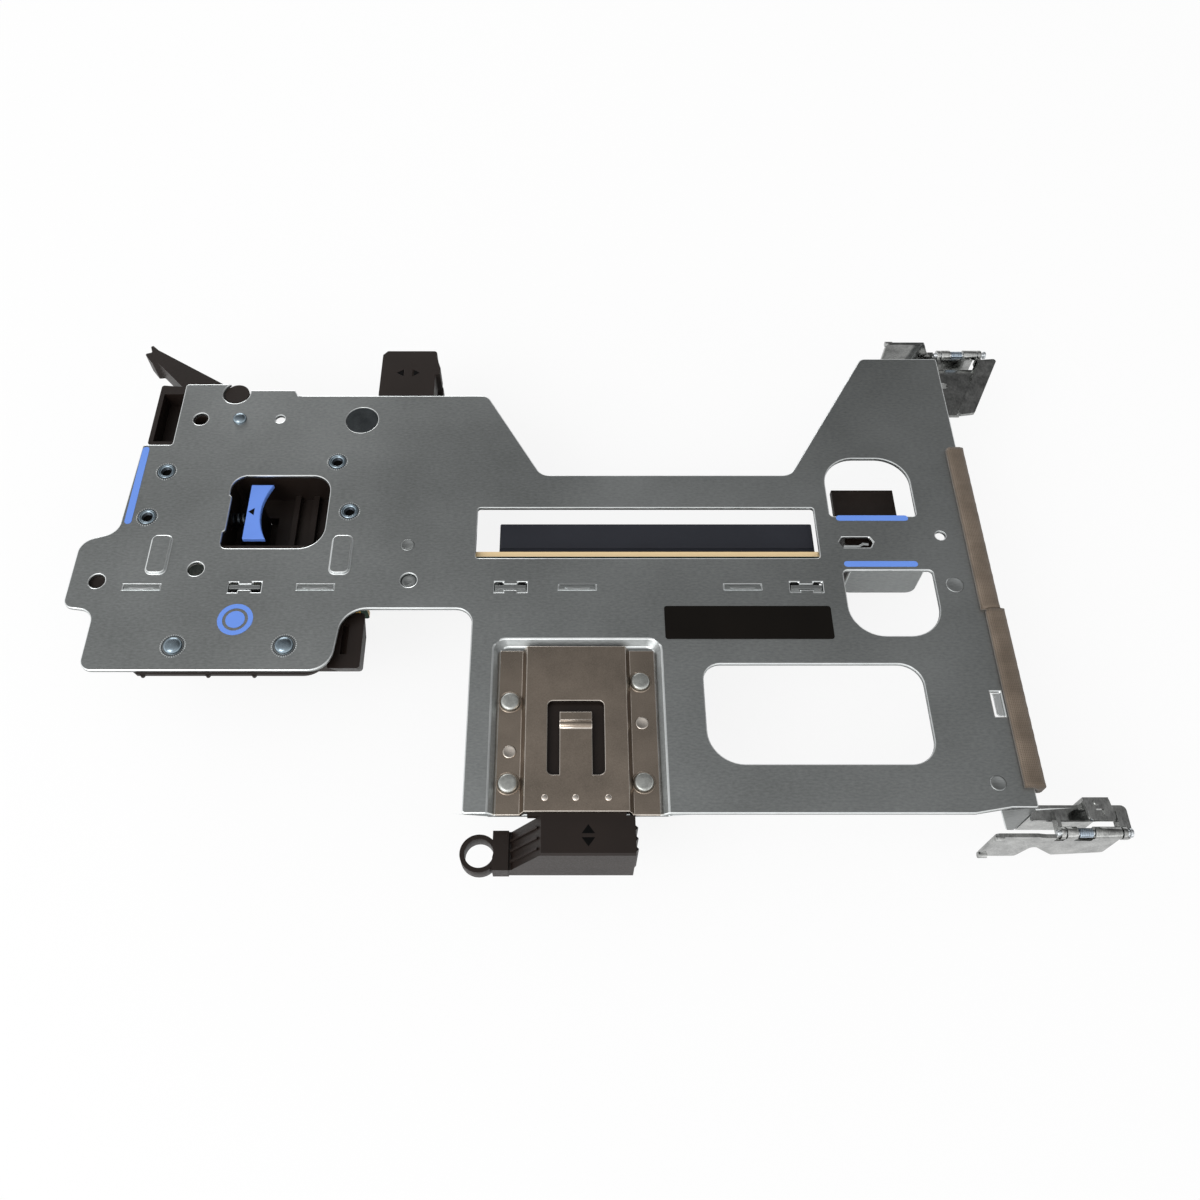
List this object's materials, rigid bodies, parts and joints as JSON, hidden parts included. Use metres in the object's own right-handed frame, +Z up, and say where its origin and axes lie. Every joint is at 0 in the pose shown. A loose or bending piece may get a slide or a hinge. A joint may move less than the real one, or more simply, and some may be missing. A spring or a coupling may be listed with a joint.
{
  "type": "riser card cage",
  "caption": "Folded sheet-metal riser cage over an upright board with back-to-back card slots, sliding card holders and sprung bracket latches.",
  "frame": {"origin": "middle of the bottom face of the docking edge, on the board's mid-plane", "axes": "+X towards the rear end with the gasket, +Y across the board to the far side, +Z up from the docking edge to the top sheet"},
  "size_m": [0.2734, 0.1657, 0.0395],
  "materials": {
    "carrier_sheet": "zinc-coated sheet steel, satin",
    "board": "glass-epoxy circuit board with solder mask",
    "gold": "gold plating on copper",
    "slot_black": "moulded slot housing",
    "nickel": "nickel-plated fastener steel",
    "chip_black": "moulded component body",
    "stainless": "stainless spring sheet, fine grain",
    "black_plastic": "fine-textured moulding",
    "blue_plastic": "touch-point blue moulding",
    "spring_steel": "zinc-plated spring wire",
    "dark_steel": "blackened steel",
    "gasket_cloth": "conductive fabric over foam",
    "latch_steel": "nickel-plated stamped sheet"
  },
  "bodies": {
    "cage": {"carrier": "carrier_sheet", "rear_wall": "carrier_sheet", "board_wall": "carrier_sheet", "riser_board": "board", "dock_contacts": "gold", "rear_slot": "slot_black", "front_slot": "slot_black", "board_spacers": "nickel", "board_screws": "nickel", "board_parts": "chip_black", "guide_plate": "stainless", "guide_rivets": "nickel", "latch_housing": "black_plastic", "return_spring": "spring_steel", "wing_mould": "black_plastic", "cable_arm": "black_plastic", "grip_mould": "black_plastic", "clinch_nuts": "nickel", "housing_screws": "nickel", "wing_studs": "nickel", "flush_standoff": "dark_steel", "front_gasket": "gasket_cloth", "rear_gasket": "gasket_cloth", "front_latch_pin": "nickel", "rear_latch_pin": "nickel", "front_latch_spring": "spring_steel", "rear_latch_spring": "spring_steel", "front_latch_bracket": "latch_steel", "rear_latch_bracket": "latch_steel"},
    "front_holder": {"front_holder": "black_plastic"},
    "rear_holder": {"rear_holder": "black_plastic"},
    "release_latch": {"release_latch": "blue_plastic"},
    "front_latch": {"front_latch": "latch_steel"},
    "rear_latch": {"rear_latch": "latch_steel"}
  },
  "joints": [
    {"name": "front_holder_slide", "type": "slide", "parent": "cage", "child": "front_holder", "axis": [0, -1, 0], "range_m": [0, 0.01]},
    {"name": "rear_holder_slide", "type": "slide", "parent": "cage", "child": "rear_holder", "axis": [1, 0, 0], "range_m": [-0.006, 0.006]},
    {"name": "release_slide", "type": "slide", "parent": "cage", "child": "release_latch", "axis": [-1, 0, 0], "range_m": [0, 0.004], "stiffness_N_per_m": 250, "springref_m": -0.004, "deforming": ["return_spring"]},
    {"name": "front_latch_hinge", "type": "hinge", "parent": "cage", "child": "front_latch", "pos_m": [0.2125, -0.0793, 0.033], "axis": [-1, 0, 0], "range_deg": [0, 80], "stiffness_Nm_per_rad": 0.01, "springref_deg": -17.19},
    {"name": "rear_latch_hinge", "type": "hinge", "parent": "cage", "child": "rear_latch", "pos_m": [0.211, 0.0759, 0.033], "axis": [1, 0, 0], "range_deg": [0, 80], "stiffness_Nm_per_rad": 0.01, "springref_deg": -17.19}
  ]
}
